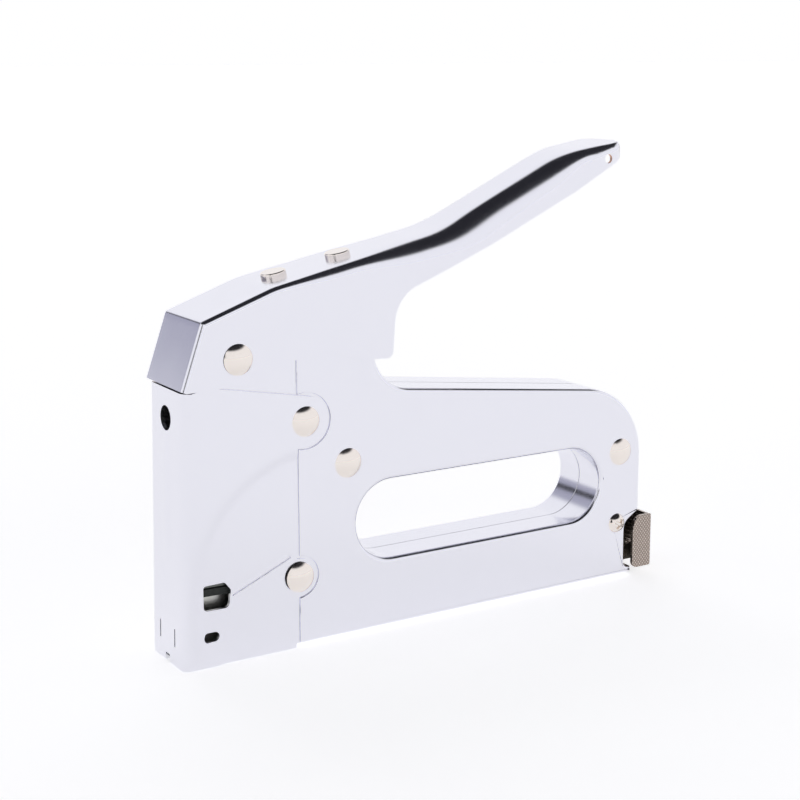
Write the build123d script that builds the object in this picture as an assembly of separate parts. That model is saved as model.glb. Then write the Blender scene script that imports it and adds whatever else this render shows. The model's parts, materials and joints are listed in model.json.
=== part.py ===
from build123d import *
import math
import os

# Hand staple gun.  The nose points to -X, the rear latch to +X, up is +Z.
# Outlines are drawn from the foot of the nose front (x = 0, z = 0) and moved at
# the end, so that the origin is the middle of the tool's footprint.

# ---- overall sizes ----
BODY_REAR = 184.2           # rear edge of the shells
OVERALL_LENGTH = BODY_REAR + 5.8     # nose front to the latch's rear face
COVER_HEIGHT = 89.6         # top of the nose cover's front
RAIL_REAR_HEIGHT = COVER_HEIGHT - 19.1   # top of the grip rail, carried on to the rear edge
RAIL_SLOPE = 6.75           # degrees that the grip rail falls towards the rear
NECK_X = 70.8               # rear edge of the neck under the handle
NECK_TOP = COVER_HEIGHT + 10.4
NOSE_LEAN = 1.3             # degrees that the nose front leans back

# ---- sheet and widths ----
SHEET = 1.2
COVER_HALF = 13.0
SHELL_HALF = COVER_HALF - 0.6
COVER_SEAT = COVER_HALF - SHEET      # the shells are set in by this line under the cover
HANDLE_GAP = 0.4                     # between the nose cover and the handle's cheeks
HANDLE_HALF = COVER_HALF + HANDLE_GAP + SHEET
SEAM = 0.1                           # half the gap between the two shells
BODY_BASE = 1.4                      # underside of the shells
COVER_REAR = 41.0                    # rear edge of the cover's wings
NOSE_BEND = 2.8                      # outer radius of the cover's front bends
SHELL_SETBACK = 1.8                  # shell edges behind the cover's front, clear of its bends

# ---- hand hole ----
HOLE_FRONT = 63.6
HOLE_REAR = BODY_REAR - 18.6
HOLE_BOTTOM = 24.9
HOLE_TOP = RAIL_REAR_HEIGHT - 18.4

# ---- rivets and screws ----
PIVOT = (20.4, COVER_HEIGHT + 9.3)
UPPER_RIVET = (44.6, COVER_HEIGHT - 13.6)
LOWER_RIVET = (41.8, 24.2)
LEVER_RIVET = (60.4, COVER_HEIGHT - 29.6)
REAR_RIVET = (BODY_REAR - 9.4, RAIL_REAR_HEIGHT - 22.2)
CATCH_SCREW = (BODY_REAR - 10.5, 21.4)
HEAD_RADIUS = 5.0
HEAD_RISE = 1.8
PIVOT_SHANK = 3.0
SHANK = 2.5
SCREW_SHANK = 1.9
SPACER_RADIUS = 4.5
POST_RADIUS = 3.2
RUNNING = 0.05                       # radial play of every turning fit
SIDE_PLAY = 0.2                      # play between flat moving faces

# ---- handle ----
FOLD_FRONT = (8.6, COVER_HEIGHT + 22.0)
TIP_X = BODY_REAR - 10.0
TIP_Z = COVER_HEIGHT + 71.7
TIP_ROUND = 6.0                      # radius of the tip seen from above
CROWN_FRONT = (33.5, COVER_HEIGHT + 30.8)    # the straight top that carries the two flat rivets
CROWN_REAR = (99.5, COVER_HEIGHT + 44.6)
HANDLE_CROWN = [                     # nose edge and top of the handle, with bend radii
    (1.3, COVER_HEIGHT + 1.0, 0.6), (*FOLD_FRONT, 1.6), (*CROWN_FRONT, 30), (*CROWN_REAR, 60),
    (TIP_X - 24.2, TIP_Z - 3.2, 26), (TIP_X, TIP_Z, 2.2)]
HANDLE_UNDER = [                     # tip, grip underside, heel and lower edge
    (TIP_X - 1.0, TIP_Z - 5.6, 2.4), (TIP_X - 22.2, TIP_Z - 16.7, 60),
    (118.0, COVER_HEIGHT + 39.4, 100), (77.8, COVER_HEIGHT + 24.4, 10),
    (76.3, COVER_HEIGHT + 4.0, 2.6), (66.0, COVER_HEIGHT + 4.8, 12), (54.0, COVER_HEIGHT + 8.0, 14),
    (38.0, COVER_HEIGHT + 7.0, 30), (23.6, COVER_HEIGHT + 4.8, 5), (20.8, COVER_HEIGHT + 1.0, 2)]
TOP_RIVET_X = (40.5, 64.0)
TOP_SHANK = 2.0
TOP_HEAD_RADIUS = 4.2
TOP_HEAD_RISE = 1.7
BRACKET_HALF = 6.4
BRACKET_THICK = 1.6
TIP_HOLE = (TIP_X - 7.8, TIP_Z - 6.0)
TIP_HOLE_RADIUS = 1.6
GRIP_HALF = HANDLE_HALF - 1.8        # half width of the grip behind the heel

# ---- lift lever and hammer ----
LEVER_THICK = 5.0
LEVER_HUB = 7.0
LEVER_NOSE = (17.0, 43.5)
LEVER_NOSE_RADIUS = 3.4
LEVER_TAIL = (65.0, COVER_HEIGHT - 9.6)
LEVER_TAIL_RADIUS = 3.5
PUSH_PIN = (58.3, COVER_HEIGHT - 7.6)
ROLLER_RADIUS = 2.6
PUSH_PIN_RADIUS = 1.3
BUSH_WALL = 1.2
HAMMER_BASE = 25.6
HAMMER_TOP = 52.0
HAMMER_FRONT = 5.0
HAMMER_REAR = 21.0
HAMMER_HALF = COVER_HALF - 3.7
POCKET_CLEARANCE = 1.3
BLADE_WIDTH = 10.6
BLADE_THICK = 1.2
BLADE_FRONT = 1.5
BLADE_TIP = 0.6
BLADE_TOP = COVER_HEIGHT - 15.6
GUIDE_THICK = 1.2
SPRING_RADIUS = 6.6                  # mean radius of the main spring
SPRING_WIRE = 2.2
SPRING_TURNS = 6
SEAT_BASE = COVER_HEIGHT - 5.6
SEAT_THICK = 3.0

# ---- magazine ----
CHANNEL_HALF = 7.0
CHANNEL_SHEET = 1.0
CHANNEL_TOP = 14.0
CHANNEL_FRONT = 4.4
CHANNEL_REAR = BODY_REAR - 6.6
FRONT_LUG_TOP = 22.4
FRONT_LUG_REAR = 20.0
REAR_LUG_TOP = 25.6
REAR_LUG_FRONT = BODY_REAR - 16.2
BUMPER_TOP = 25.2
ROD_Z = 8.2
ROD_RADIUS = 1.5
ROD_FRONT = 11.0
ROD_HEAD_RADIUS = 2.6
ROD_HEAD_LENGTH = 1.6
PUSHER_LENGTH = 14.0
PUSHER_FRONT = ROD_FRONT + ROD_HEAD_LENGTH + SIDE_PLAY
PUSHER_REAR = PUSHER_FRONT + PUSHER_LENGTH
PUSHER_HALF = 5.5
PUSHER_TOP = 13.2
BLOCK_FRONT = BODY_REAR - 18.2
BLOCK_REAR = BODY_REAR - 0.2
PUSHER_SPRING_RADIUS = 2.9
PUSHER_SPRING_WIRE = 0.7
PUSHER_SPRING_TURNS = 38

# ---- rear latch ----
LATCH_SHEET = 1.2
LATCH_HALF = SHELL_HALF + 0.2
LATCH_BOTTOM = 2.7
LATCH_TOP = 22.6
WING_FRONT = BODY_REAR - 2.7
LATCH_PIN = (BODY_REAR - 1.6, 7.0)
LATCH_PIN_RADIUS = 1.3
LATCH_EAR_HALF = 6.9

NOTCH_X = BODY_REAR - 6.2            # front of the shells' notch for the latch wings
NOTCH_BOTTOM = 3.6
NOTCH_TOP = 20.6
LIP_X = BODY_REAR - 3.0
LATCH_GATE_HALF = 7.3                # half width of the opening the latch slides out of


CROWN_SLOPE = (CROWN_REAR[1] - CROWN_FRONT[1]) / (CROWN_REAR[0] - CROWN_FRONT[0])
TOP_RIVET_TILT = math.degrees(math.atan(CROWN_SLOPE))


def nose_front(z):
    """X of the leaning nose front at height z."""
    return z * math.tan(math.radians(NOSE_LEAN))


def rail_height(x):
    """Height of the sloping grip rail at x."""
    return RAIL_REAR_HEIGHT + (BODY_REAR - x) * math.tan(math.radians(RAIL_SLOPE))


def crown_height(x):
    """Height of the handle's straight top at x."""
    return CROWN_FRONT[1] + (x - CROWN_FRONT[0]) * CROWN_SLOPE


def slab(sketch, y_from, y_to):
    """Solid of a side outline (drawn as x, z) between two Y planes."""
    return extrude(Plane.XZ.offset(-y_to) * sketch, y_to - y_from)


def polygon(*points):
    return make_face(Polyline(*points, close=True))


def rounded(corners):
    """Face of a closed outline given as (x, z, corner radius)."""
    points = [(x, z) for x, z, radius in corners]
    return make_face(FilletPolyline(*points, radius=[radius for x, z, radius in corners], close=True))


def disc(centre, radius):
    return Pos(*centre) * Circle(radius)


def block(x_from, x_to, y_from, y_to, z_from, z_to):
    centre = ((x_from + x_to) / 2, (y_from + y_to) / 2, (z_from + z_to) / 2)
    return Pos(*centre) * Box(x_to - x_from, y_to - y_from, z_to - z_from)


def cross_rod(centre, radius, y_from, y_to):
    """Round bar across the tool."""
    return slab(disc(centre, radius), y_from, y_to)


def tube(centre, outer, inner, y_from, y_to):
    return cross_rod(centre, outer, y_from, y_to) - cross_rod(centre, inner, y_from, y_to)


def both_sides(part):
    """A piece with its mirror image on the other side."""
    return part + mirror(part, about=Plane.XZ)


def domed_head(centre, face, radius, rise):
    """Domed rivet head that stands on the face at y = -face."""
    ball = (radius ** 2 + rise ** 2) / (2 * rise)
    cap = Pos(0, ball - rise, 0) * Sphere(ball) & Pos(0, -radius, 0) * Box(4 * radius, 2 * radius, 4 * radius)
    return Pos(centre[0], -face, centre[1]) * cap


def through_rivet(centre, shank, face, radius=HEAD_RADIUS, rise=HEAD_RISE):
    """Rivet through the whole body, with a domed head on each side."""
    head = domed_head(centre, face, radius, rise)
    return cross_rod(centre, shank, -face, face) + both_sides(head)


def coil(radius, wire, height, turns):
    """Closed-end compression spring along +Z, from z = 0 to height."""
    path = Helix(pitch=(height - wire) / turns, height=height - wire, radius=radius)
    section = Plane(origin=path @ 0, z_dir=path % 0) * Circle(wire / 2)
    return Pos(0, 0, wire / 2) * sweep(section, path=path)


# ---- shells ----
def shell_outline():
    front_low = nose_front(BODY_BASE) + SHEET + SHELL_SETBACK
    front_high = nose_front(COVER_HEIGHT) + SHEET + SHELL_SETBACK
    lobe = 8.0
    return rounded([
        (front_low, BODY_BASE, 0.5),
        (LIP_X, BODY_BASE, 0.6),
        (LIP_X, NOTCH_BOTTOM, 0.5),
        (NOTCH_X, NOTCH_BOTTOM, 2.4),
        (NOTCH_X, NOTCH_TOP, 4.0),
        (BODY_REAR, NOTCH_TOP + 4.0, 1.2),
        (BODY_REAR, RAIL_REAR_HEIGHT, 27.0),
        (NECK_X, rail_height(NECK_X), 14.5),
        (NECK_X, NECK_TOP, 3.0),
        (PIVOT[0] + 6.0, PIVOT[1] + lobe, 6.0),
        (PIVOT[0] - lobe, PIVOT[1] + lobe, 7.0),
        (PIVOT[0] - lobe, PIVOT[1] - 2.0, 2.0),
        (front_high, COVER_HEIGHT - 1.0, 0.5),
    ])


def shell_cavity():
    """Side view of the space inside the pressed walls; open at the nose."""
    neck = NECK_X - SHEET
    return rounded([
        (-8.0, BODY_BASE + SHEET, 0.5),
        (NOTCH_X - SHEET, BODY_BASE + SHEET, 1.0),
        (NOTCH_X - SHEET, NOTCH_TOP + 0.6, 4.0),
        (BODY_REAR - SHEET, NOTCH_TOP + 4.6, 1.0),
        (BODY_REAR - SHEET, rail_height(BODY_REAR) - SHEET, 27.0 - SHEET),
        (neck, rail_height(neck) - SHEET, 14.5 + SHEET),
        (neck, NECK_TOP - SHEET, 2.0),
        (PIVOT[0] + 6.0, PIVOT[1] + 8.0 - SHEET, 5.0),
        (-8.0, PIVOT[1] + 8.0 - SHEET, 0.5),
    ])


def hand_hole(grow=0.0):
    """Stadium of the hand hole; grown by a wall for its flange."""
    height = HOLE_TOP - HOLE_BOTTOM + 2 * grow
    length = HOLE_REAR - HOLE_FRONT + 2 * grow
    centre = ((HOLE_FRONT + HOLE_REAR) / 2, (HOLE_BOTTOM + HOLE_TOP) / 2)
    return Pos(*centre) * SlotOverall(length, height)


def cover_recess():
    """Side view of the part of the shells that is set in under the nose cover."""
    front = polygon((-9, -9), (COVER_REAR + 1, -9), (COVER_REAR + 1, 130), (-9, 130))
    return front + disc(UPPER_RIVET, 9.3) + disc(LOWER_RIVET, 7.1)


def window(grow=0.0):
    """Inspection window in the nose's side: a slanted rectangle."""
    return rounded([
        (7.6 - grow, 18.6 - grow, 1.4), (16.4 + grow, 18.6 - grow, 1.6),
        (17.2 + grow, 24.4, 1.2), (15.0 + grow, 27.2 + grow, 1.2), (7.6 - grow, 27.0 + grow, 1.0)])


def jam_slot(grow=0.0):
    return Pos(10.0, 9.8) * SlotOverall(5.6 + 2 * grow, 3.2 + 2 * grow)


def make_shell():
    """Right-hand shell; the left one is its mirror image."""
    recess = cover_recess()
    cavity = shell_cavity() - hand_hole(SHEET)
    shell = slab(shell_outline() - hand_hole(), SEAM, SHELL_HALF)
    shell -= slab(cavity - recess, 0, SHELL_HALF - SHEET)
    shell -= slab(cavity & recess, 0, COVER_SEAT - SHEET)
    shell -= slab(recess, COVER_SEAT, SHELL_HALF + 1)
    base_slot = CHANNEL_HALF + SIDE_PLAY
    shell -= block(-1, NOTCH_X + 9, 0, base_slot, -1, BODY_BASE + SHEET + 0.1)
    shell -= block(-1, NECK_X - SHEET, 0, COVER_SEAT - SHEET, COVER_HEIGHT, 130)
    shell -= block(NOTCH_X - 3, BODY_REAR + 3, 0, LATCH_GATE_HALF, -1, LATCH_TOP)
    for centre in (UPPER_RIVET, LOWER_RIVET, LEVER_RIVET, REAR_RIVET):
        shell -= cross_rod(centre, SHANK, 0, SHELL_HALF + 1)
    shell -= cross_rod(PIVOT, PIVOT_SHANK, 0, SHELL_HALF + 1)
    shell -= cross_rod(CATCH_SCREW, SCREW_SHANK, 0, SHELL_HALF + 1)
    shell -= slab(window(0.4) + jam_slot(0.4), 0, SHELL_HALF + 1)
    return shell


# ---- nose cover ----
def cover_outline():
    high = COVER_HEIGHT
    side = polygon(
        (0, 0), (COVER_REAR - 0.6, 0), (COVER_REAR + 0.6, UPPER_RIVET[1] - 6),
        (UPPER_RIVET[0] + 1.6, UPPER_RIVET[1] + 8.0), (13.8, high + 0.5), (8.0, high + 0.4),
        (5.0, high - 0.2), (nose_front(high), high))
    return side + disc(UPPER_RIVET, 8.2) + disc(LOWER_RIVET, 6.2)


def nose_bends(part, half):
    """The two vertical edges of the nose front."""
    return [e for e in part.edges()
            if abs(abs(e.center().Y) - half) < 0.01 and e.length > 60 and e.center().X < 5]


def make_cover():
    outer = slab(cover_outline(), -COVER_HALF, COVER_HALF)
    outer = fillet(nose_bends(outer, COVER_HALF), NOSE_BEND)
    back = 80
    inside = polygon((nose_front(-9) + SHEET, -9), (back, -9), (back, 120), (nose_front(120) + SHEET, 120))
    inner = slab(inside, -COVER_SEAT, COVER_SEAT)
    inner = fillet(nose_bends(inner, COVER_SEAT), NOSE_BEND - SHEET)
    cover = outer - inner
    cover -= slab(window() + jam_slot(), -COVER_HALF - 1, COVER_HALF + 1)
    for centre in (UPPER_RIVET, LOWER_RIVET):
        cover -= cross_rod(centre, SHANK, -COVER_HALF - 1, COVER_HALF + 1)
    cover -= Pos(0, 0, 80) * Rot(0, 90, 0) * Cylinder(4.0, 12)
    cover -= block(-1, 4, -1.6, 1.6, -1, 2.6)
    return cover


# ---- handle ----
def handle_outline():
    """Side view of the handle, from the nose along the top and back below."""
    return rounded(HANDLE_CROWN + HANDLE_UNDER)


def inset_chain(corners, distance):
    """The same bends on the other face of the sheet, to the right of the chain."""
    shifted = []
    for (x0, z0, _), (x1, z1, _) in zip(corners, corners[1:]):
        along = Vector(x1 - x0, z1 - z0).normalized()
        side = Vector(along.Y, -along.X) * distance
        shifted.append((Vector(x0, z0) + side, along))
    result = [(shifted[0][0].X, shifted[0][0].Y, 0.5)]
    for (p, u), (q, v), (_, _, radius) in zip(shifted, shifted[1:], corners[1:]):
        turn = u.X * v.Y - u.Y * v.X
        reach = ((q.X - p.X) * v.Y - (q.Y - p.Y) * v.X) / turn
        corner = p + u * reach
        inner = radius - distance if turn < 0 else radius + distance
        result.append((corner.X, corner.Y, max(inner, 0.3)))
    return result


def handle_void():
    """Side view of the channel's inside, open below."""
    chain = inset_chain(HANDLE_CROWN, SHEET)
    first, last = chain[0], HANDLE_CROWN[-1]
    roof = chain[1:]
    slope = (HANDLE_CROWN[-1][1] - HANDLE_CROWN[-2][1]) / (HANDLE_CROWN[-1][0] - HANDLE_CROWN[-2][0])
    end_z = roof[-1][1] + (last[0] + 5 - roof[-1][0]) * slope
    below = first[1] - 30
    lean = (roof[0][0] - first[0]) / (roof[0][1] - first[1])
    return rounded([(first[0] - 30 * lean, below, 0.5)] + roof
                   + [(last[0] + 5, end_z, 0.5), (last[0] + 5, below, 0.5)])


def handle_plan(inset=0.0):
    """Top view: straight over the body, a little narrower at the grip, round tip."""
    half = HANDLE_HALF - inset
    grip = GRIP_HALF - inset
    end = TIP_X - inset
    corners = [(-5, -half, 1), (88, -half, 30), (120, -grip, 30), (end, -grip, TIP_ROUND - inset)]
    corners += [(x, -y, radius) for x, y, radius in reversed(corners)]
    return rounded(corners)


def make_handle():
    """Channel of sheet: closed over the top and the nose, open below."""
    inner_half = HANDLE_HALF - SHEET
    handle = slab(handle_outline(), -HANDLE_HALF, HANDLE_HALF) & extrude(handle_plan(), 200)
    handle -= slab(handle_void(), -inner_half, inner_half) & extrude(handle_plan(SHEET), 200)
    handle -= cross_rod(PIVOT, PIVOT_SHANK + RUNNING, -HANDLE_HALF - 1, HANDLE_HALF + 1)
    handle -= cross_rod(TIP_HOLE, TIP_HOLE_RADIUS, -HANDLE_HALF - 1, HANDLE_HALF + 1)
    for x in TOP_RIVET_X:
        handle -= on_crown(x) * Cylinder(TOP_SHANK, 12)
    return handle


def on_crown(x):
    """Place square to the handle top at x."""
    return Pos(x, 0, crown_height(x)) * Rot(0, -TOP_RIVET_TILT, 0)


def make_top_rivet(x):
    """Flat-headed rivet through the handle top and the bracket under it."""
    grip = SHEET + BRACKET_THICK
    head = Pos(0, 0, TOP_HEAD_RISE / 2) * Cylinder(TOP_HEAD_RADIUS, TOP_HEAD_RISE)
    head = fillet(head.edges().sort_by(Axis.Z)[-1], 0.5)
    shank = Pos(0, 0, -grip / 2) * Cylinder(TOP_SHANK, grip)
    return on_crown(x) * (head + shank)


def make_bracket():
    """Inner bracket under the handle top; its two cheeks carry the push pin."""
    half, thick = BRACKET_HALF, BRACKET_THICK
    drop = SHEET / math.cos(math.atan(CROWN_SLOPE))

    def top(x):
        return crown_height(x) - drop

    front, rear = TOP_RIVET_X[0] - 4.0, TOP_RIVET_X[1] + 5.0
    plate = polygon((front, top(front)), (rear, top(rear)),
                    (rear, top(rear) - thick), (front, top(front) - thick))
    pin_x, pin_z = PUSH_PIN
    cheek = polygon((pin_x - 6.3, top(pin_x - 6.3)), (pin_x + 5.7, top(pin_x + 5.7)),
                    (pin_x + 3.4, pin_z), (pin_x - 1.0, pin_z + 3.2))
    cheek += disc(PUSH_PIN, 3.4)
    bracket = slab(plate, -half, half) + both_sides(slab(cheek, half - thick, half))
    bracket -= cross_rod(PUSH_PIN, PUSH_PIN_RADIUS, -half - 1, half + 1)
    for x in TOP_RIVET_X:
        bracket -= on_crown(x) * Cylinder(TOP_SHANK, 12)
    return bracket


# ---- lift lever ----
def make_lever():
    """Lever on the middle rivet: the nose lifts the hammer, the tail is pushed."""
    bore = SHANK + RUNNING + BUSH_WALL
    arm = make_hull([disc(LEVER_RIVET, LEVER_HUB).edge(), disc(LEVER_NOSE, LEVER_NOSE_RADIUS).edge()])
    tail = make_hull([disc(LEVER_RIVET, LEVER_HUB).edge(), disc(LEVER_TAIL, LEVER_TAIL_RADIUS).edge()])
    lever = slab(arm + tail, -LEVER_THICK / 2, LEVER_THICK / 2)
    return lever - cross_rod(LEVER_RIVET, bore, -LEVER_THICK, LEVER_THICK)


# ---- nose group, drawn upright and leaned back with the nose front ----
LEAN = Rot(0, NOSE_LEAN, 0)


def in_nose_frame(x, z):
    """A side-view point as it lies in the upright nose group."""
    lean = math.radians(NOSE_LEAN)
    return x * math.cos(lean) - z * math.sin(lean), x * math.sin(lean) + z * math.cos(lean)


def make_hammer():
    """Hammer block: a pocket open at the rear takes the lever's nose."""
    body = block(HAMMER_FRONT, HAMMER_REAR, -HAMMER_HALF, HAMMER_HALF, HAMMER_BASE, HAMMER_TOP)
    body = chamfer(body.edges().filter_by(Axis.Z), 1.0)
    nose_x, nose_z = in_nose_frame(*LEVER_NOSE)
    pocket_half = LEVER_THICK / 2 + 0.6
    roof = nose_z + LEVER_NOSE_RADIUS + POCKET_CLEARANCE
    floor = nose_z - LEVER_NOSE_RADIUS - 4.0
    front = nose_x - LEVER_NOSE_RADIUS - 4.6
    rear = HAMMER_REAR + 1
    rise = (LEVER_RIVET[1] - nose_z + 5.0) / (LEVER_RIVET[0] - nose_x) * 1.25
    side = polygon((front, floor), (rear, floor), (rear, roof + (rear - nose_x) * rise),
                   (nose_x, roof), (front, roof))
    pocket = slab(side, -pocket_half, pocket_half)
    tongue_z = 31.0
    tongue = block(BLADE_FRONT + BLADE_THICK, HAMMER_FRONT, -3.4, 3.4, tongue_z, tongue_z + 6)
    return LEAN * (body - pocket + tongue)


def make_blade():
    half = BLADE_WIDTH / 2
    return LEAN * block(BLADE_FRONT, BLADE_FRONT + BLADE_THICK, -half, half, BLADE_TIP, BLADE_TOP)


def make_blade_guide():
    """Plate behind the blade with a long slot for the hammer's tongue."""
    front = BLADE_FRONT + BLADE_THICK + SIDE_PLAY
    half = COVER_SEAT - SHEET - 0.6
    plate = block(front, front + GUIDE_THICK, -half, half, FRONT_LUG_TOP + 0.5, 66.0)
    slot = block(front - 1, front + GUIDE_THICK + 1, -4.2, 4.2, 30.0, 55.0)
    return LEAN * (plate - slot)


def make_main_spring():
    centre_x = (HAMMER_FRONT + HAMMER_REAR) / 2
    height = SEAT_BASE - HAMMER_TOP
    spring = coil(SPRING_RADIUS, SPRING_WIRE, height - 0.4, SPRING_TURNS)
    return LEAN * Pos(centre_x, 0, HAMMER_TOP + 0.2) * spring


def make_spring_seat():
    half = COVER_SEAT - SHEET - 0.1
    return LEAN * block(4.4, 24.0, -half, half, SEAT_BASE, SEAT_BASE + SEAT_THICK)


def make_return_spring():
    """Torsion spring round the pivot rivet; one leg under the handle top."""
    radius, wire, width = 4.9, 1.3, 6.5
    body = Rot(90, 0, 0) * coil(radius, wire, width, 4)
    body = Pos(PIVOT[0], width / 2, PIVOT[1]) * body
    start = Vector(PIVOT[0] + radius, -width / 2 + wire, PIVOT[1] + 1.5)
    leg = Plane(origin=start, z_dir=(0.93, 0, 0.37)) * Cylinder(wire / 2, 12, align=(
        Align.CENTER, Align.CENTER, Align.MIN))
    return [body, leg]


# ---- magazine ----
def make_channel():
    """Staple channel: folded floor and walls, with lugs at the nose and the rear."""
    inner = CHANNEL_HALF - CHANNEL_SHEET
    floor = BODY_BASE + CHANNEL_SHEET
    wall = polygon((CHANNEL_FRONT, BODY_BASE), (CHANNEL_REAR, BODY_BASE), (CHANNEL_REAR, REAR_LUG_TOP),
                   (REAR_LUG_FRONT, REAR_LUG_TOP), (REAR_LUG_FRONT, CHANNEL_TOP),
                   (FRONT_LUG_REAR, CHANNEL_TOP), (FRONT_LUG_REAR, FRONT_LUG_TOP),
                   (CHANNEL_FRONT, FRONT_LUG_TOP))
    channel = slab(wall, -CHANNEL_HALF, CHANNEL_HALF)
    channel -= block(0, OVERALL_LENGTH, -inner, inner, floor, REAR_LUG_TOP + 5)
    channel -= cross_rod(CATCH_SCREW, POST_RADIUS, -CHANNEL_HALF - 1, CHANNEL_HALF + 1)
    return channel


def make_bumper():
    half = COVER_SEAT - SHEET - 0.8
    base = FRONT_LUG_TOP + nose_front(FRONT_LUG_REAR)
    pad = block(6.2, 19.5, -half, half, base, BUMPER_TOP)
    return LEAN * chamfer(pad.edges().filter_by(Axis.Z), 1.0)


def along_rod(radius, x_from, x_to):
    return Pos((x_from + x_to) / 2, 0, ROD_Z) * Rot(0, 90, 0) * Cylinder(radius, x_to - x_from)


def make_rod():
    head = along_rod(ROD_HEAD_RADIUS, ROD_FRONT, ROD_FRONT + ROD_HEAD_LENGTH)
    return head + along_rod(ROD_RADIUS, ROD_FRONT, BLOCK_FRONT + 8)


def make_pusher():
    floor = BODY_BASE + CHANNEL_SHEET + SIDE_PLAY
    pusher = block(PUSHER_FRONT, PUSHER_REAR, -PUSHER_HALF, PUSHER_HALF, floor, PUSHER_TOP)
    pusher = chamfer(pusher.edges().filter_by(Axis.Z), 0.6)
    return pusher - along_rod(ROD_RADIUS + RUNNING, PUSHER_FRONT - 1, PUSHER_REAR + 1)


def make_pusher_spring():
    length = BLOCK_FRONT - PUSHER_REAR - 0.4
    spring = coil(PUSHER_SPRING_RADIUS, PUSHER_SPRING_WIRE, length, PUSHER_SPRING_TURNS)
    return Pos(PUSHER_REAR + 0.2, 0, ROD_Z) * Rot(0, 90, 0) * spring


def make_rod_block():
    floor = BODY_BASE + CHANNEL_SHEET + SIDE_PLAY
    body = block(BLOCK_FRONT, BLOCK_REAR, -PUSHER_HALF, PUSHER_HALF, floor, PUSHER_TOP)
    body = fillet(body.edges().filter_by(Axis.Y).sort_by(Axis.X)[-2:], 3.0)
    body -= along_rod(ROD_RADIUS, BLOCK_FRONT - 1, BLOCK_FRONT + 8)
    return body - cross_rod(LATCH_PIN, LATCH_PIN_RADIUS + RUNNING, -9, 9)


# ---- rear latch ----
def latch_side():
    return rounded([
        (WING_FRONT, LATCH_BOTTOM, 2.2), (OVERALL_LENGTH, LATCH_BOTTOM, 0.4),
        (OVERALL_LENGTH, LATCH_TOP, 0.4), (WING_FRONT + 1.4, LATCH_TOP, 3.6), (WING_FRONT, 17.5, 6.0)])


def make_latch():
    """Yoke: rear plate, two outer wings and two inner ears for the pin."""
    outer = slab(latch_side(), -LATCH_HALF, LATCH_HALF)
    rear = OVERALL_LENGTH - LATCH_SHEET
    wing = LATCH_HALF - LATCH_SHEET
    latch = outer - block(WING_FRONT - 2, rear, -wing, wing, 0, LATCH_TOP + 2)
    ear_out = LATCH_EAR_HALF
    ear_in = PUSHER_HALF + SIDE_PLAY
    root = Pos(rear + 0.3, 8.4) * Rectangle(0.6, 8.0)
    ear = make_hull(disc(LATCH_PIN, 2.6).edges() + root.edges())
    latch += both_sides(slab(ear, ear_in, ear_out))
    return latch - cross_rod(LATCH_PIN, LATCH_PIN_RADIUS, -9, 9)


def make_side_screws():
    """Pan-head cross-recess screws, one on each side, in the catch post."""
    head = domed_head(CATCH_SCREW, SHELL_HALF, 3.65, 2.2)
    shank = cross_rod(CATCH_SCREW, SCREW_SHANK, -SHELL_HALF, -SHELL_HALF + 6)
    cross = block(-2.0, 2.0, -1.5, 1.5, -0.45, 0.45) + block(-0.45, 0.45, -1.5, 1.5, -2.0, 2.0)
    recess = Pos(CATCH_SCREW[0], -SHELL_HALF - 2.4, CATCH_SCREW[1]) * Rot(0, 30, 0) * cross
    screw = head + shank - recess
    return [screw, mirror(screw, about=Plane.XZ)]


def make_nodes():
    shell = make_shell()
    inner_front = COVER_SEAT - SHEET
    inner_rear = SHELL_HALF - SHEET
    lever_side = LEVER_THICK / 2 + SIDE_PLAY
    lever_spacer = tube(LEVER_RIVET, SPACER_RADIUS, SHANK, lever_side, inner_rear)
    bush_outer = SHANK + RUNNING + BUSH_WALL
    post = tube(CATCH_SCREW, POST_RADIUS, SCREW_SHANK, -inner_rear, inner_rear)
    roller_half = BRACKET_HALF - BRACKET_THICK - 0.1
    return {
        "shell_right": shell,
        "shell_left": mirror(shell, about=Plane.XZ),
        "nose_cover": make_cover(),
        "pivot_rivet": through_rivet(PIVOT, PIVOT_SHANK, HANDLE_HALF + SIDE_PLAY),
        "cover_rivets": [through_rivet(c, SHANK, COVER_HALF) for c in (UPPER_RIVET, LOWER_RIVET)],
        "body_rivets": [through_rivet(c, SHANK, SHELL_HALF) for c in (LEVER_RIVET, REAR_RIVET)],
        "rivet_spacers": [
            tube(UPPER_RIVET, SPACER_RADIUS, SHANK, -inner_front, inner_front),
            tube(LOWER_RIVET, SPACER_RADIUS, SHANK, -inner_front, inner_front),
            tube(REAR_RIVET, SPACER_RADIUS, SHANK, -inner_rear, inner_rear)],
        "lever_spacers": [lever_spacer, mirror(lever_spacer, about=Plane.XZ)],
        "catch_post": post,
        "side_screws": make_side_screws(),
        "spring_seat": make_spring_seat(),
        "blade_guide": make_blade_guide(),
        "bumper": make_bumper(),
        "magazine_channel": make_channel(),
        "main_spring": make_main_spring(),
        "return_spring": make_return_spring(),
        "handle": make_handle(),
        "handle_rivets": [make_top_rivet(x) for x in TOP_RIVET_X],
        "handle_bracket": make_bracket(),
        "push_pin": cross_rod(PUSH_PIN, PUSH_PIN_RADIUS, -BRACKET_HALF - 0.8, BRACKET_HALF + 0.8),
        "push_roller": tube(PUSH_PIN, ROLLER_RADIUS, PUSH_PIN_RADIUS, -roller_half, roller_half),
        "lift_lever": make_lever(),
        "lever_bush": tube(LEVER_RIVET, bush_outer, SHANK + RUNNING, -LEVER_THICK / 2, LEVER_THICK / 2),
        "hammer": make_hammer(),
        "driver_blade": make_blade(),
        "pusher_rod": make_rod(),
        "rod_block": make_rod_block(),
        "pusher_spring": make_pusher_spring(),
        "staple_pusher": make_pusher(),
        "rear_latch": make_latch(),
        "latch_pin": cross_rod(LATCH_PIN, LATCH_PIN_RADIUS, -LATCH_EAR_HALF, LATCH_EAR_HALF),
    }


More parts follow.
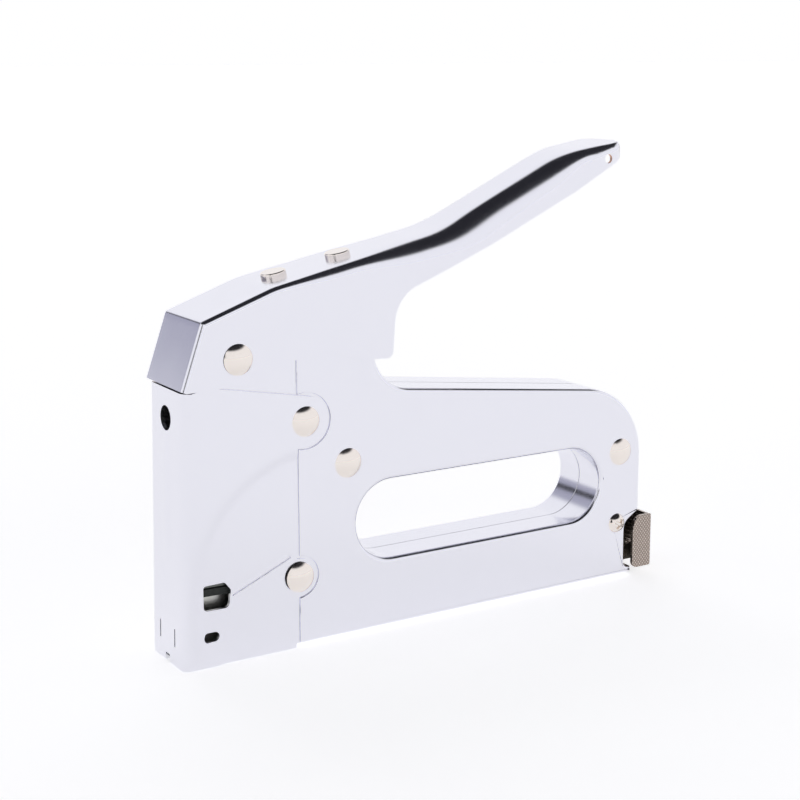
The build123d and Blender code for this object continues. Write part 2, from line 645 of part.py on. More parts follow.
def main():
    os.makedirs("parts", exist_ok=True)
    to_origin = Pos(-OVERALL_LENGTH / 2, 0, 0)
    for name, piece in make_nodes().items():
        solids = piece if isinstance(piece, list) else [piece]
        placed = [to_origin * solid for one in solids for solid in one.solids()]
        export_step(placed[0] if len(placed) == 1 else Compound(children=placed), f"parts/{name}.step")


main()
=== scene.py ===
import bpy
import bmesh
import json
import math
from mathutils import Matrix, Vector


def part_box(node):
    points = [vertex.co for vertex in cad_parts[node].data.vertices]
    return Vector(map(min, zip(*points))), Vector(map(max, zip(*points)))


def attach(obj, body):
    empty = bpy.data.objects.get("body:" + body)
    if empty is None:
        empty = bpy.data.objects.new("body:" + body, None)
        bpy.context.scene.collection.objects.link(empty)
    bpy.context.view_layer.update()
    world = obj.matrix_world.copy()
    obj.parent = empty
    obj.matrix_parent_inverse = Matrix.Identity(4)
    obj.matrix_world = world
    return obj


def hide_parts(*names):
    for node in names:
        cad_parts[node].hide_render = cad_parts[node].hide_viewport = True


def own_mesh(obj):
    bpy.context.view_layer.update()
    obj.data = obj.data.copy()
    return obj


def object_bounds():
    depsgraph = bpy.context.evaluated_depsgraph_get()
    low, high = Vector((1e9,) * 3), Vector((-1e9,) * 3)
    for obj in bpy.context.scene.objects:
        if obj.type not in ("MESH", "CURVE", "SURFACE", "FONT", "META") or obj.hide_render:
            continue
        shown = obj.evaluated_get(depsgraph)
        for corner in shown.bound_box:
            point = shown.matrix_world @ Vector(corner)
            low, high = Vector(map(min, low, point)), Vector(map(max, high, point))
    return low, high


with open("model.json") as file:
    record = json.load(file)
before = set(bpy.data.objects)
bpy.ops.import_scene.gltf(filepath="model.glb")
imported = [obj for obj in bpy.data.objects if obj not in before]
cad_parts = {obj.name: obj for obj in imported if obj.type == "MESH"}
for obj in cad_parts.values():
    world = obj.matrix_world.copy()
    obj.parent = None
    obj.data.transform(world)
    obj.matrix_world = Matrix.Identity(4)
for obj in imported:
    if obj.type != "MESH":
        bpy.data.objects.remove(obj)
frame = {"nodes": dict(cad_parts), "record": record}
cad_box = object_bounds()

# ---- Sheet-metal shells ----
# Two pressed halves of bright chrome-plated 1.2 mm sheet, joined by the rivets. The outer rims
# roll over into the edge, and the front is set in by one sheet under the nose cover.

MM = 0.001
NOSE_X = cad_box[0].x          # the foot of the nose front
SHEET = 1.2 * MM
SHELL_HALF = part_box("shell_right")[1].y
ON_FACE = 0.01 * MM            # how near a vertex on a flat face lies to it
FOLD = 1.0                     # radians between faces that meet at a true edge


def at(x, z):
    """A side-view point, measured in millimetres from the foot of the nose."""
    return NOSE_X + x * MM, z * MM


def finish_mesh(name, work, material, body, nodes=(), smooth=math.radians(32)):
    """Makes the piece's object, shaded smooth up to an angle, and ties it to its body."""
    mesh = bpy.data.meshes.new(name)
    work.to_mesh(mesh)
    work.free()
    piece = bpy.data.objects.new(name, mesh)
    bpy.context.scene.collection.objects.link(piece)
    mesh.materials.append(material)
    mesh.shade_smooth()
    mesh.set_sharp_from_angle(angle=smooth)
    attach(piece, body)
    if nodes:
        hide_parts(*nodes)
    return piece


def even_shading(piece):
    """Keeps flat faces flat where they run into a rolled edge."""
    weighted = piece.modifiers.new("even shading", "WEIGHTED_NORMAL")
    weighted.keep_sharp = True
    weighted.weight = 80
    return piece


def body_of(node):
    """The moving body that a node belongs to."""
    return next(body for body, names in frame["record"]["behaviour"]["bodies"].items() if node in names)


def merged_copy(node):
    """The CAD node's own shape with its loose triangles joined and its flats cleaned."""
    work = bmesh.new()
    work.from_mesh(frame["nodes"][node].data)
    bmesh.ops.remove_doubles(work, verts=work.verts, dist=0.002 * MM)
    bmesh.ops.dissolve_limit(
        work, angle_limit=math.radians(0.4), verts=work.verts, edges=work.edges, delimit={"NORMAL"}
    )
    return work


def folded_edges(work, wanted, angle=FOLD):
    return [e for e in work.edges if e.is_manifold and e.calc_face_angle(0) > angle and wanted(e)]


def round_edges(work, edges, radius, segments=3, clamp=True):
    bmesh.ops.bevel(
        work, geom=edges, offset=radius, offset_type="OFFSET", segments=segments, profile=0.5,
        affect="EDGES", clamp_overlap=clamp, material=-1, loop_slide=True,
    )


def metal(name, colour, roughness, spread, scratch=0.0, grain=900.0, bump=0.02,
          tarnish=0.0, tarnish_colour=(0.5, 0.42, 0.34, 1)):
    """Plated or bare metal: cloudy gloss, fine grain, faint scratches and patches of tarnish."""
    material = bpy.data.materials.new(name)
    material.use_nodes = True
    nodes, links = material.node_tree.nodes, material.node_tree.links
    shader = nodes["Principled BSDF"]
    shader.inputs["Metallic"].default_value = 1.0
    place = nodes.new("ShaderNodeTexCoord")

    def noise(scale, detail, rough=0.55):
        texture = nodes.new("ShaderNodeTexNoise")
        texture.inputs["Scale"].default_value = scale
        texture.inputs["Detail"].default_value = detail
        texture.inputs["Roughness"].default_value = rough
        links.new(place.outputs["Object"], texture.inputs["Vector"])
        return texture

    cloud = noise(45.0, 5.0)
    fine = noise(grain, 6.0, 0.65)
    mix = nodes.new("ShaderNodeMath")
    mix.operation = "MULTIPLY_ADD"
    mix.inputs[1].default_value = 0.45
    links.new(fine.outputs["Fac"], mix.inputs[0])
    links.new(cloud.outputs["Fac"], mix.inputs[2])
    gloss = nodes.new("ShaderNodeMapRange")
    gloss.inputs["From Min"].default_value = 0.35
    gloss.inputs["From Max"].default_value = 1.15
    gloss.inputs["To Min"].default_value = roughness - spread
    gloss.inputs["To Max"].default_value = roughness + spread
    links.new(mix.outputs["Value"], gloss.inputs["Value"])
    links.new(gloss.outputs["Result"], shader.inputs["Roughness"])

    tint = nodes.new("ShaderNodeMix")
    tint.data_type = "RGBA"
    tint.inputs["A"].default_value = colour
    tint.inputs["B"].default_value = tarnish_colour
    patches = nodes.new("ShaderNodeMapRange")
    patches.inputs["From Min"].default_value = 0.52
    patches.inputs["From Max"].default_value = 0.80
    patches.inputs["To Max"].default_value = tarnish
    links.new(noise(130.0, 7.0, 0.62).outputs["Fac"], patches.inputs["Value"])
    links.new(patches.outputs["Result"], tint.inputs["Factor"])
    links.new(tint.outputs["Result"], shader.inputs["Base Color"])

    relief = nodes.new("ShaderNodeBump")
    relief.inputs["Strength"].default_value = 0.5
    relief.inputs["Distance"].default_value = bump * MM
    height = fine.outputs["Fac"]
    if scratch:
        hairs = nodes.new("ShaderNodeTexNoise")
        hairs.inputs["Scale"].default_value = 320.0
        hairs.inputs["Detail"].default_value = 3.0
        lie = nodes.new("ShaderNodeMapping")
        lie.inputs["Rotation"].default_value = (0, 0.5, 0)
        lie.inputs["Scale"].default_value = (0.08, 1.0, 2.4)
        links.new(place.outputs["Object"], lie.inputs["Vector"])
        links.new(lie.outputs["Vector"], hairs.inputs["Vector"])
        add = nodes.new("ShaderNodeMath")
        add.operation = "MULTIPLY_ADD"
        add.inputs[1].default_value = scratch
        links.new(hairs.outputs["Fac"], add.inputs[0])
        links.new(fine.outputs["Fac"], add.inputs[2])
        height = add.outputs["Value"]
    links.new(height, relief.inputs["Height"])
    links.new(relief.outputs["Normal"], shader.inputs["Normal"])
    return material


CHROME = metal("chrome plate", (0.80, 0.80, 0.86, 1), 0.20, 0.05, scratch=0.5, grain=700.0, bump=0.006,
               tarnish=0.10, tarnish_colour=(0.66, 0.66, 0.74, 1))

HOLE_LOW, HOLE_HIGH = at(63.0, 24.5), at(166.2, 52.5)    # just outside the hand hole
RIM_RADIUS = 1.3 * MM
HOLE_RIM_RADIUS = 1.6 * MM
STEP_RADIUS = 0.35 * MM        # edge of the step that sets the front in under the cover
STEP_DEPTH = 0.9 * MM
SEAM_RADIUS = 0.45 * MM
SEAM_REACH = 0.2 * MM          # the seam's edges lie this near the middle plane
RIVET_CENTRES = [at(44.6, 76.0), at(41.8, 24.2), at(60.4, 60.0), at(174.8, 48.3), at(173.7, 21.4),
                 at(20.4, 98.9)]
RIVET_HOLE = 3.6 * MM          # edges this near a rivet stay sharp under its head


def make_shell(node):
    """Rounds the outer rim, the hand hole's rim, the front step and the seam of one half."""
    work = merged_copy(node)
    rims, hole_rims, steps = [], [], []
    for edge in folded_edges(work, lambda e: min(abs(v.co.y) for v in e.verts) > SHELL_HALF - ON_FACE):
        middle = (edge.verts[0].co + edge.verts[1].co) / 2
        if any(math.hypot(middle.x - x, middle.z - z) < RIVET_HOLE for x, z in RIVET_CENTRES):
            continue
        inside = HOLE_LOW[0] < middle.x < HOLE_HIGH[0] and HOLE_LOW[1] < middle.z < HOLE_HIGH[1]
        wall = next((f for f in edge.link_faces if abs(f.normal.y) < 0.5), None)
        low_wall = wall and min(abs(v.co.y) for v in wall.verts) > SHELL_HALF - STEP_DEPTH
        (hole_rims if inside else steps if low_wall else rims).append(edge)
    round_edges(work, rims, RIM_RADIUS, 5, clamp=False)
    round_edges(work, [e for e in steps if e.is_valid], STEP_RADIUS, 2)
    hole_rims = [e for e in hole_rims if e.is_valid]
    round_edges(work, hole_rims, HOLE_RIM_RADIUS, 7, clamp=False)
    seams = folded_edges(work, lambda e: max(abs(v.co.y) for v in e.verts) < SEAM_REACH)
    round_edges(work, seams, SEAM_RADIUS, 3)
    return even_shading(finish_mesh(node + "_pressed", work, CHROME, "frame", [node]))


for node in ("shell_left", "shell_right"):
    make_shell(node)

# ---- Nose cover ----
# One U-shaped sheet wrapped over the nose and riveted through both shells. It carries the
# inspection window, the jam slot and the round hole in front, and a soft pressed sector.

COVER_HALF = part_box("nose_cover")[1].y
CHEEK_INSIDE = COVER_HALF - 2 * MM       # nearer the middle than the cheeks' sheet
COVER_EDGE_RADIUS = 0.35 * MM
FRONT_REAR = 3.6 * MM                    # the leaning front sheet ends before this
BEND_REAR = 4 * MM                       # and its bends before this
SECTOR_CENTRE = at(47.0, 24.0)
SECTOR_RADIUS = 42.5 * MM
SECTOR_DEPTH = 0.8 * MM
SECTOR_SLOPE = 1.9 * MM
SECTOR_FADE = 3 * MM                     # over which the sector starts behind the bends
SLIT = (at(17.6, 22.6), at(38.6, 31.6))
SLIT_HALF = 0.5 * MM
OVAL_SIDE = 5.7 * MM
OVAL_HALF = 0.3 * MM
OVAL_LOW, OVAL_HIGH = 6.4 * MM, 12.4 * MM
RIB_HALF = 2.9 * MM
RIB_RISE = 0.5 * MM
RIB_FLANK = 0.45                         # share of the half width that slopes
RIB_LOW, RIB_HIGH = 30 * MM, 75 * MM
RIB_START, RIB_END = 18 * MM, 2 * MM     # lengths over which the rib rises and ends
RIB_CUTS = (-1, -0.8, -0.4, 0, 0.4, 0.8, 1)
GRID = 1.6 * MM                          # mesh squares that the pressed forms bend
GRID_TOP = 72 * MM


def ramp(value):
    """A smooth step from 0 to 1."""
    value = min(max(value, 0.0), 1.0)
    return value * value * (3 - 2 * value)


def near_faces(work, inside):
    """The wanted faces with their edges and vertices, as a cut needs them."""
    faces = [f for f in work.faces if inside(f)]
    return list({v for f in faces for v in f.verts}) + list({e for f in faces for e in f.edges}) + faces


def cut_slot(work, start, end, half, place, wanted):
    """Cuts a narrow straight slot through both faces of the sheet and closes its walls."""
    along = (end - start).normalized()
    across = along.cross(place)
    for point, normal in ((start, -along), (end, along), (start + across * half, across),
                          (start - across * half, -across)):
        bmesh.ops.bisect_plane(
            work, geom=near_faces(work, wanted), dist=0.0005 * MM, plane_co=point, plane_no=normal,
        )
    middle, reach = (start + end) / 2, (end - start).length / 2

    def within(face):
        offset = face.calc_center_median() - middle
        flat = wanted(face) and abs(face.normal.dot(place)) > 0.9
        return flat and abs(offset.dot(along)) < reach and abs(offset.dot(across)) < half

    bmesh.ops.delete(work, geom=[f for f in work.faces if within(f)], context="FACES")
    rims = [e for e in work.edges if e.is_boundary]
    if rims:
        bmesh.ops.bridge_loops(work, edges=rims)


def cut_openings(work):
    """The jam slot in each cheek and the two short slots in the front."""
    for side in (-1, 1):
        first, last = (Vector((x, side * COVER_HALF, z)) for x, z in SLIT)
        cut_slot(work, first, last, SLIT_HALF, Vector((0, 1, 0)),
                 lambda f: f.calc_center_median().y * side > CHEEK_INSIDE)
        low, high = (Vector((NOSE_X, side * OVAL_SIDE, z)) for z in (OVAL_LOW, OVAL_HIGH))
        cut_slot(work, low, high, OVAL_HALF, Vector((1, 0, 0)),
                 lambda f: f.calc_center_median().x < NOSE_X + FRONT_REAR and abs(f.normal.x) > 0.9)


def lay_grid(work, foot, top):
    """Cuts the faces into small squares, so that pressed forms can bend them."""
    columns = (Vector((1, 0, 0)), foot.x + BEND_REAR, top.x)
    rows = (Vector((0, 0, 1)), foot.z, GRID_TOP)
    for normal, low, high in (columns, rows):
        place = low + GRID
        while place < high:
            bmesh.ops.bisect_plane(
                work, geom=work.verts[:] + work.edges[:] + work.faces[:], dist=0.001 * MM,
                plane_co=normal * place, plane_no=normal,
            )
            place += GRID
    for share in RIB_CUTS:
        front = near_faces(work, lambda f: f.calc_center_median().x < NOSE_X + BEND_REAR)
        bmesh.ops.bisect_plane(
            work, geom=front, dist=0.001 * MM, plane_co=(0, share * RIB_HALF, 0), plane_no=(0, 1, 0),
        )


def press_forms(work, foot):
    """Raises the rib on the front and sinks the quarter sector in both cheeks."""
    for vert in work.verts:
        if vert.co.x < NOSE_X + FRONT_REAR and abs(vert.co.y) < RIB_HALF:
            rise = ramp((RIB_HALF - abs(vert.co.y)) / (RIB_HALF * RIB_FLANK))
            rise *= ramp((vert.co.z - RIB_LOW) / RIB_START) * ramp((RIB_HIGH - vert.co.z) / RIB_END)
            vert.co.x -= RIB_RISE * rise
        away = math.hypot(vert.co.x - SECTOR_CENTRE[0], vert.co.z - SECTOR_CENTRE[1])
        inside = ramp((SECTOR_RADIUS - away) / SECTOR_SLOPE)
        front = ramp((vert.co.x - foot.x - BEND_REAR) / SECTOR_FADE)
        if abs(vert.co.y) > CHEEK_INSIDE:
            vert.co.y -= math.copysign(SECTOR_DEPTH * inside * front, vert.co.y)


cover_work = merged_copy("nose_cover")
cut_openings(cover_work)
outer = folded_edges(cover_work, lambda e: min(abs(v.co.y) for v in e.verts) > COVER_HALF - ON_FACE)
round_edges(cover_work, outer, COVER_EDGE_RADIUS, 3)
cover_foot, cover_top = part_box("nose_cover")
lay_grid(cover_work, cover_foot, cover_top)
press_forms(cover_work, cover_foot)
even_shading(finish_mesh("nose_cover_pressed", cover_work, CHROME, "frame", ["nose_cover"]))

# ---- Squeeze handle ----
# A channel of the same chromed sheet, folded down over the nose. Its top is a flat strip in front
# and turns into full round shoulders along the grip, and the tip has a hole for a hook.

HANDLE_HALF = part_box("handle")[1].y
TIP_X = (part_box("handle")[1].x - NOSE_X) / MM
CROWN = [(1.3, 90.6, 0), (8.6, 111.6, 1.6), (33.5, 120.4, 30), (99.5, 134.2, 60), (150, 158.1, 58),
         (TIP_X, 161.3, 0)]
UNDER = [(76.3, 93.6, 0), (77.8, 114.0, 13), (118, 129.0, 100), (152, 144.6, 60), (TIP_X, 156.2, 0)]
LOWER_EDGE = [(1.3, 90.6, 0), (20.8, 90.6, 2), (23.6, 94.4, 5), (38.0, 96.6, 30), (54.0, 97.6, 14),
              (66.0, 94.4, 12), (76.3, 93.6, 2.6), (77.8, 114.0, 0)]


def at_3d(point, y):
    """A side-view point in millimetres, y millimetres to the side."""
    return NOSE_X + point.x * MM, y * MM, point.y * MM


def bent_line(corners, step=1.0):
    """Points along straight runs joined by arcs, about one step apart on the arcs."""
    line = [Vector(corners[0][:2])]
    for before, corner, after in zip(corners, corners[1:], corners[2:]):
        point = Vector(corner[:2])
        back = (Vector(before[:2]) - point).normalized()
        on = (Vector(after[:2]) - point).normalized()
        half = math.acos(max(-1.0, min(1.0, back.dot(on)))) / 2
        radius = corner[2]
        reach = radius / math.tan(half)
        centre = point + (back + on).normalized() * (radius / math.sin(half))
        start, end = point + back * reach - centre, point + on * reach - centre
        sweep = start.angle_signed(end)
        count = max(2, math.ceil(abs(sweep) * radius / step))
        for k in range(count + 1):
            spin = Matrix.Rotation(-sweep * k / count, 2)
            line.append(centre + spin @ start)
    line.append(Vector(corners[-1][:2]))
    return line


def even_points(line, step):
    """The same line as points one step apart, with its ends kept."""
    spaced = [line[0]]
    for a, b in zip(line, line[1:]):
        count = max(1, round((b - a).length / step))
        spaced += [a.lerp(b, (k + 1) / count) for k in range(count)]
    return spaced


def height_on(line, x):
    """The height at which a side-view line passes x."""
    for a, b in zip(line, line[1:]):
        if a.x <= x <= b.x:
            return a.y + (b.y - a.y) * (x - a.x) / max(b.x - a.x, 1e-9)
    return line[-1].y if x > line[-1].x else line[0].y


def blended(stops, x):
    """The value at x on a smooth curve through the stops."""
    for (x0, v0), (x1, v1) in zip(stops, stops[1:]):
        if x <= x1:
            return v0 + (v1 - v0) * ramp((x - x0) / (x1 - x0))
    return stops[-1][1]


# Sizes along the handle, as pairs of a place and a value in millimetres.
HALF = HANDLE_HALF / MM
TIP_ROUND = 6.0
HEEL_X = 88
CROWN_STEP = 1.6
SHOULDER_STEPS = 8
CHEEK_STRIP = 1.2              # narrowest shoulder beside the flat top
WELD = 0.005 * MM
FLAT_TOP = [(0, HALF - 1.7), (34, HALF - 1.9), (60, HALF - 3.2), (HEEL_X, 8.2), (112, 6.0), (144, 5.8),
            (158, 8.4), (170, 10.6)]
SHOULDER = [(0, 1.7), (34, 2.0), (60, 3.6), (HEEL_X, 7.0), (112, 9.5), (140, 8.0), (158, 4.0), (TIP_X, 2.2)]
WIDTH = [(HEEL_X, HALF), (120, HALF - 1.8)]


def half_width(x):
    """Half the handle's width, which narrows behind the heel and rounds off at the tip."""
    corner = TIP_X - TIP_ROUND
    half = blended(WIDTH, x)
    if x > corner:
        half += math.sqrt(max(TIP_ROUND ** 2 - (x - corner) ** 2, 0)) - TIP_ROUND
    return half


def make_handle_sheet():
    """Right half first: top strip, shoulder and cheek, then mirrored about the middle."""
    work = bmesh.new()
    crown = even_points(bent_line(CROWN), CROWN_STEP)
    under = bent_line(UNDER)
    rings = []
    for k, point in enumerate(crown):
        along = (crown[min(k + 1, len(crown) - 1)] - crown[max(k - 1, 0)]).normalized()
        inward = Vector((along.y, -along.x))
        half = half_width(min(point.x, TIP_X - 0.02))
        flat = min(blended(FLAT_TOP, point.x), half - CHEEK_STRIP)
        deep = blended(SHOULDER, point.x)
        ring = [(point, 0.0), (point, flat / 2)]
        for j in range(SHOULDER_STEPS + 1):
            angle = math.pi / 2 * (1 - j / SHOULDER_STEPS)
            sunk = point + inward * deep * (1 - math.sin(angle))
            ring.append((sunk, flat + (half - flat) * math.cos(angle)))
        rings.append([work.verts.new(at_3d(p, y)) for p, y in ring])
    for one, two in zip(rings, rings[1:]):
        for j in range(len(one) - 1):
            work.faces.new((one[j], one[j + 1], two[j + 1], two[j]))
    # The grip's sides hang straight down from the shoulder; the cheek in front is one flat sheet.
    heel = next(k for k, ring in enumerate(rings) if ring[-1].co.x > NOSE_X + HEEL_X * MM) - 1
    feet = []
    for ring in rings[heel:]:
        top = ring[-1].co
        foot_z = min(height_on(under, (top.x - NOSE_X) / MM) * MM, top.z - 0.4 * MM)
        feet.append(work.verts.new((top.x, top.y, foot_z)))
    for k in range(len(feet) - 1):
        one, two = rings[heel + k][-1], rings[heel + k + 1][-1]
        work.faces.new((one, feet[k], feet[k + 1], two))
    edge = [work.verts.new(at_3d(p, HALF)) for p in bent_line(LOWER_EDGE)[1:-1]]
    bend = [p for p in under[1:] if NOSE_X + p.x * MM < feet[0].co.x - 0.2 * MM]
    edge += [work.verts.new(at_3d(p, HALF)) for p in bend]
    loop = [ring[-1] for ring in rings[:heel + 1]] + [feet[0]] + edge[::-1]
    work.faces.new(loop)
    end = rings[-1]
    low = [work.verts.new((v.co.x - 0.6 * MM, v.co.y, feet[-1].co.z)) for v in end[:-1]] + [feet[-1]]
    for j in range(len(end) - 1):
        work.faces.new((end[j], low[j], low[j + 1], end[j + 1]))
    half = work.verts[:] + work.edges[:] + work.faces[:]
    bmesh.ops.mirror(work, geom=half, axis="Y", merge_dist=WELD)
    bmesh.ops.remove_doubles(work, verts=work.verts, dist=WELD)
    bmesh.ops.recalc_face_normals(work, faces=work.faces)
    crown_face = max(work.faces, key=lambda f: f.calc_center_median().z)
    if crown_face.normal.z < 0:
        bmesh.ops.reverse_faces(work, faces=work.faces)
    return work


def punch(work, centre, radius, corners=24):
    """Punches a round hole through both cheeks."""
    reach = radius * 3

    def close(face):
        offset = face.calc_center_median() - Vector(centre)
        size = max((v.co - face.calc_center_median()).length for v in face.verts)
        return math.hypot(offset.x, offset.z) < reach + size and abs(face.normal.y) > 0.5

    for k in range(corners):
        angle = 2 * math.pi * k / corners
        normal = Vector((math.cos(angle), 0, math.sin(angle)))
        bmesh.ops.bisect_plane(
            work, geom=near_faces(work, close), dist=0.0002 * MM, plane_co=Vector(centre) + normal * radius,
            plane_no=normal,
        )

    def inside(face):
        offset = face.calc_center_median() - Vector(centre)
        return abs(face.normal.y) > 0.5 and math.hypot(offset.x, offset.z) < radius * 0.995

    bmesh.ops.delete(work, geom=[f for f in work.faces if inside(f)], context="FACES")


# The sheet's cut edge and its bevel are coloured orange-pink as a painted reflection, with dark patches at
# random.
CUT_EDGE_REFLECTION = metal("cut edge with painted orange-pink reflection", (0.62, 0.40, 0.30, 1), 0.38, 0.10, scratch=0.6, bump=0.01,
                 tarnish=0.5, tarnish_colour=(0.30, 0.20, 0.16, 1))
PIVOT = at_3d(Vector((20.4, 98.9)), 0)
PIVOT_HOLE_RADIUS = 3.05 * MM
HANG_HOLE = at_3d(Vector((TIP_X - 7.8, 155.3)), 0)
HANG_HOLE_RADIUS = 1.6 * MM
sheet_work = make_handle_sheet()
punch(sheet_work, PIVOT, PIVOT_HOLE_RADIUS)
punch(sheet_work, HANG_HOLE, HANG_HOLE_RADIUS)
handle = finish_mesh("handle_sheet", sheet_work, CHROME, "handle", ["handle"])
wall = handle.modifiers.new("sheet", "SOLIDIFY")
wall.thickness = SHEET
wall.offset = -1
wall.material_offset_rim = 1
handle.data.materials.append(CUT_EDGE_REFLECTION)
burr = handle.modifiers.new("edge", "BEVEL")
burr.width = 0.4 * MM
burr.segments = 2
burr.limit_method = "ANGLE"
burr.angle_limit = math.radians(60)
burr.material = 1
even_shading(handle)

# ---- Rivets, screws and the latch ----
# Domed and flat rivets of warm nickel-plated steel, two pan-head screws and the latch that
# closes the magazine. The latch's wings are cross-hatched for the thumb.

HATCH_PITCH = 1.0 * MM
HATCH_DEPTH = 0.22 * MM
HATCH_TURN = math.radians(40)
LATCH_EDGE_RADIUS = 0.3 * MM
WING_SHEET = 0.3 * MM          # faces this near the wings' outside carry the hatch


def hatched(material):
    """Adds a raised diagonal cross-hatch to the bump of a metal, and colours its grooves darker."""
    nodes, links = material.node_tree.nodes, material.node_tree.links
    shader = nodes["Principled BSDF"]
    place = nodes.new("ShaderNodeTexCoord")
    ridges = []
    for turn in (HATCH_TURN, -HATCH_TURN):
        lie = nodes.new("ShaderNodeMapping")
        lie.inputs["Rotation"].default_value = (0, turn, 0)
        wave = nodes.new("ShaderNodeTexWave")
        wave.bands_direction = "X"
        wave.inputs["Scale"].default_value = 0.314 / HATCH_PITCH
        links.new(place.outputs["Object"], lie.inputs["Vector"])
        links.new(lie.outputs["Vector"], wave.inputs["Vector"])
        ridges.append(wave.outputs["Fac"])
    raised = nodes.new("ShaderNodeMath")
    raised.operation = "MINIMUM"
    links.new(ridges[0], raised.inputs[0])
    links.new(ridges[1], raised.inputs[1])
    relief = nodes.new("ShaderNodeBump")
    relief.inputs["Strength"].default_value = 0.8
    relief.inputs["Distance"].default_value = HATCH_DEPTH
    links.new(raised.outputs["Value"], relief.inputs["Height"])
    first = shader.inputs["Normal"].links[0].from_node
    links.new(first.outputs["Normal"], relief.inputs["Normal"])
    links.new(relief.outputs["Normal"], shader.inputs["Normal"])
    plain = shader.inputs["Base Color"].links[0].from_socket
    # The grooves between the ridges are coloured a darker brown.
    darker_in_grooves = nodes.new("ShaderNodeMix")
    darker_in_grooves.data_type = "RGBA"
    darker_in_grooves.inputs["A"].default_value = (0.26, 0.21, 0.18, 1)
    links.new(raised.outputs["Value"], darker_in_grooves.inputs["Factor"])
    links.new(plain, darker_in_grooves.inputs["B"])
    links.new(darker_in_grooves.outputs["Result"], shader.inputs["Base Color"])
    return material


NICKEL = metal("warm nickel", (0.84, 0.78, 0.73, 1), 0.15, 0.05, scratch=0.4, grain=1200.0, bump=0.006,
               tarnish=0.25, tarnish_colour=(0.60, 0.50, 0.42, 1))
HATCHED = hatched(metal("hatched nickel", (0.70, 0.62, 0.56, 1), 0.26, 0.07, bump=0.006, tarnish=0.4,
                        tarnish_colour=(0.42, 0.35, 0.30, 1)))
# Near-black finish for the faces inside the latch's wings: painted shade, and rougher than the plating.
SHADED = metal("latch inside, unpolished and painted dark as shade", (0.10, 0.09, 0.08, 1), 0.45, 0.10, bump=0.02, tarnish=0.5,
               tarnish_colour=(0.04, 0.035, 0.03, 1))


def plate(node, work, finish):
    return even_shading(finish_mesh(node + "_plated", work, finish, body_of(node), [node]))


for node in ("pivot_rivet", "cover_rivets", "body_rivets", "side_screws", "handle_rivets"):
    plate(node, merged_copy(node), NICKEL)

latch_work = merged_copy("rear_latch")
round_edges(latch_work, folded_edges(latch_work, lambda e: True, 0.9), LATCH_EDGE_RADIUS, 3)
wing = max(abs(f.calc_center_median().y) for f in latch_work.faces)
# The faces inside the wings take the near-black finish, as painted shade.
for face in latch_work.faces:
    inner = abs(face.normal.y) >= 0.5 and abs(face.calc_center_median().y) <= wing - WING_SHEET
    face.material_index = 1 if inner else 0
plate("rear_latch", latch_work, HATCHED).data.materials.append(SHADED)

plate("latch_pin", merged_copy("latch_pin"), NICKEL)

# ---- Works inside the body ----
# Zinc-plated spacers, brackets and magazine, the oiled black hammer, blade and lever, and the
# spring wire. They are seen through the window, the slots and the open underside.

ZINC = metal("zinc plate", (0.62, 0.62, 0.58, 1), 0.34, 0.08, scratch=0.8, grain=800.0, bump=0.012,
             tarnish=0.35, tarnish_colour=(0.48, 0.48, 0.42, 1))
BLACKED = metal("oiled black steel", (0.13, 0.14, 0.13, 1), 0.36, 0.10, scratch=0.8, grain=800.0, bump=0.015,
                tarnish=0.3, tarnish_colour=(0.07, 0.08, 0.07, 1))
SPRING = metal("oiled spring wire", (0.30, 0.30, 0.31, 1), 0.28, 0.08, grain=1500.0, bump=0.01,
               tarnish=0.3, tarnish_colour=(0.16, 0.14, 0.12, 1))


def rubber():
    """Dull black rubber with a fine grain."""
    material = bpy.data.materials.new("bumper rubber")
    material.use_nodes = True
    nodes, links = material.node_tree.nodes, material.node_tree.links
    shader = nodes["Principled BSDF"]
    shader.inputs["Roughness"].default_value = 0.85
    place = nodes.new("ShaderNodeTexCoord")
    grain = nodes.new("ShaderNodeTexNoise")
    grain.inputs["Scale"].default_value = 900.0
    links.new(place.outputs["Object"], grain.inputs["Vector"])
    shade = nodes.new("ShaderNodeValToRGB")
    shade.color_ramp.elements[0].color = (0.010, 0.012, 0.011, 1)
    shade.color_ramp.elements[1].color = (0.035, 0.04, 0.036, 1)
    links.new(grain.outputs["Fac"], shade.inputs["Fac"])
    links.new(shade.outputs["Color"], shader.inputs["Base Color"])
    relief = nodes.new("ShaderNodeBump")
    relief.inputs["Distance"].default_value = 0.05 * MM
    links.new(grain.outputs["Fac"], relief.inputs["Height"])
    links.new(relief.outputs["Normal"], shader.inputs["Normal"])
    return material


FINISHES = {"zinc_steel": ZINC, "hardened_steel": BLACKED, "spring_steel": SPRING, "bumper_rubber": rubber()}
for entry in frame["record"]["subparts"]:
    node, slot = entry["node"], entry["material_slot"]
    if slot in FINISHES:
        work = merged_copy(node)
        piece = finish_mesh(node + "_finished", work, FINISHES[slot], body_of(node), [node])
        if node == "main_spring":
            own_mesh(piece)
        if node == "pusher_spring":
            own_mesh(piece)

# ---- Table, light and camera ----
# A plain white table under a large soft tent, with a darker band high on the near side that the
# polished metal picks up, and a camera beside the nose.

TABLE_REACH = 25.0
TABLE_GAP = 0.05 * MM
work = bmesh.new()
bmesh.ops.create_grid(work, x_segments=8, y_segments=8, size=TABLE_REACH)
bmesh.ops.translate(work, verts=work.verts, vec=(0, 0, -TABLE_GAP))
mesh = bpy.data.meshes.new("table")
work.to_mesh(mesh)
work.free()
table = bpy.data.objects.new("table", mesh)
bpy.context.scene.collection.objects.link(table)
paper = bpy.data.materials.new("white table")
paper.use_nodes = True
paper_shader = paper.node_tree.nodes["Principled BSDF"]
paper_shader.inputs["Base Color"].default_value = (0.90, 0.90, 0.91, 1)
paper_shader.inputs["Roughness"].default_value = 0.9
paper_shader.inputs["Emission Color"].default_value = (1.0, 1.0, 1.0, 1)
paper_shader.inputs["Emission Strength"].default_value = 0.62
mesh.materials.append(paper)

